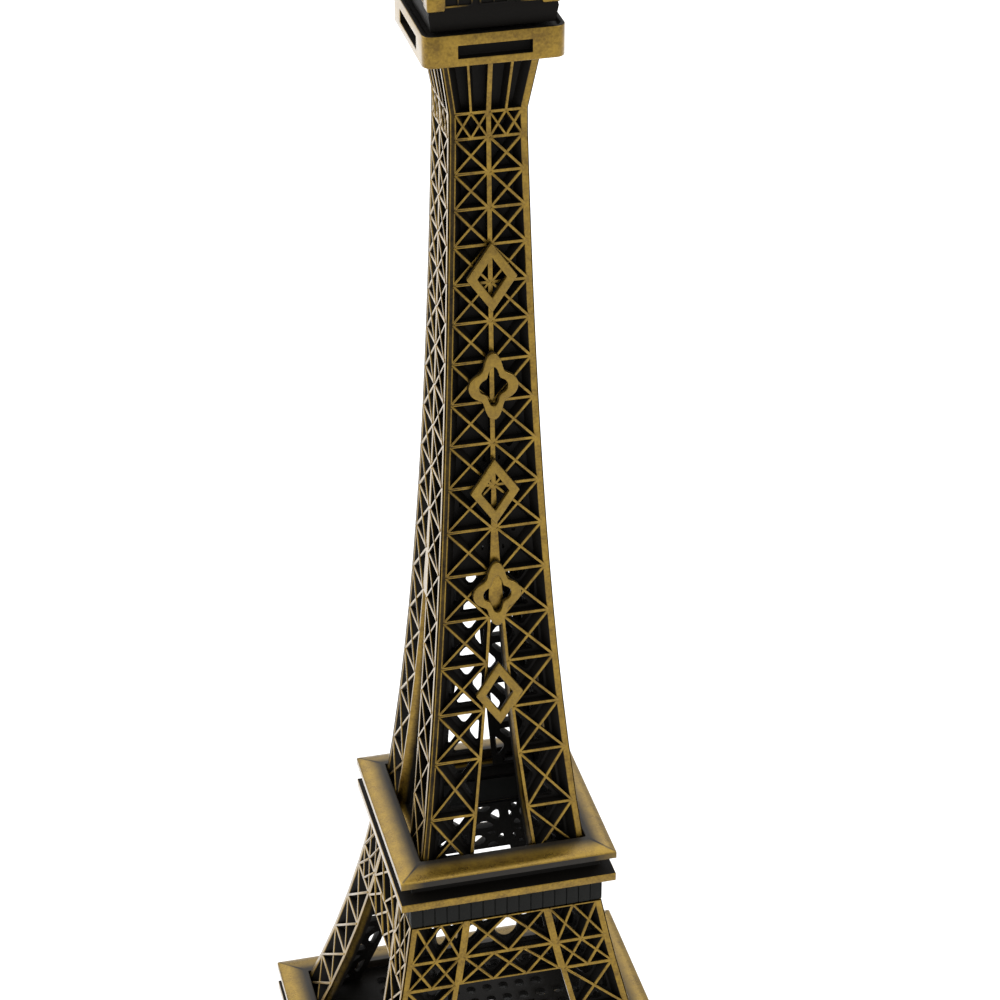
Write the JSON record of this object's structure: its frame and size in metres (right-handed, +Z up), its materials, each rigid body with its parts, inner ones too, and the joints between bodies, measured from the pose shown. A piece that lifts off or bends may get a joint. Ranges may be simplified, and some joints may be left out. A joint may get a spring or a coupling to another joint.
{
  "type": "miniature landmark model",
  "caption": "Small free-standing lattice tower in antique brass: splayed legs with arches, gallery decks, a tapering lattice shaft with raised ornaments, a cabin and a mast.",
  "frame": {"origin": "on the table, under the middle of the tower, level with the undersides of the four foot blocks", "axes": "+Z up along the tower's axis; the face that carries the raised ornaments looks along -Y; +X to the right of that face"},
  "size_m": [0.115, 0.115, 0.32],
  "materials": {
    "cast_brass": "antique brass plating with dark patina in the recesses, satin rubbed edges",
    "dark_brass": "blackened brass, satin",
    "bright_brass": "rubbed antique brass, satin"
  },
  "bodies": {
    "root": {"arch_back": "cast_brass", "arch_front": "cast_brass", "arch_left": "cast_brass", "arch_right": "cast_brass", "cabin": "dark_brass", "cabin_roof": "cast_brass", "dome": "bright_brass", "first_deck_band": "dark_brass", "first_deck_lower_plate": "cast_brass", "first_deck_upper_plate": "bright_brass", "foot_back_left": "cast_brass", "foot_back_right": "cast_brass", "foot_front_left": "cast_brass", "foot_front_right": "cast_brass", "lantern": "cast_brass", "lower_leg_back_left": "cast_brass", "lower_leg_back_right": "cast_brass", "lower_leg_front_left": "cast_brass", "lower_leg_front_right": "cast_brass", "lower_leg_left_left": "cast_brass", "lower_leg_left_right": "cast_brass", "lower_leg_right_left": "cast_brass", "lower_leg_right_right": "cast_brass", "mast": "bright_brass", "mid_girder_back": "cast_brass", "mid_girder_front": "cast_brass", "mid_girder_left": "cast_brass", "mid_girder_right": "cast_brass", "mid_leg_back_left": "cast_brass", "mid_leg_back_right": "cast_brass", "mid_leg_front_left": "cast_brass", "mid_leg_front_right": "cast_brass", "mid_leg_left_left": "cast_brass", "mid_leg_left_right": "cast_brass", "mid_leg_right_left": "cast_brass", "mid_leg_right_right": "cast_brass", "ornament_1_lozenge": "bright_brass", "ornament_2_quatrefoil": "bright_brass", "ornament_3_lozenge": "bright_brass", "ornament_4_quatrefoil": "bright_brass", "ornament_5_lozenge": "bright_brass", "second_deck_band": "dark_brass", "second_deck_lower_plate": "cast_brass", "second_deck_upper_plate": "bright_brass", "shaft_back": "cast_brass", "shaft_front": "cast_brass", "shaft_left": "cast_brass", "shaft_right": "cast_brass", "third_deck_gallery": "cast_brass"}
  },
  "joints": []
}
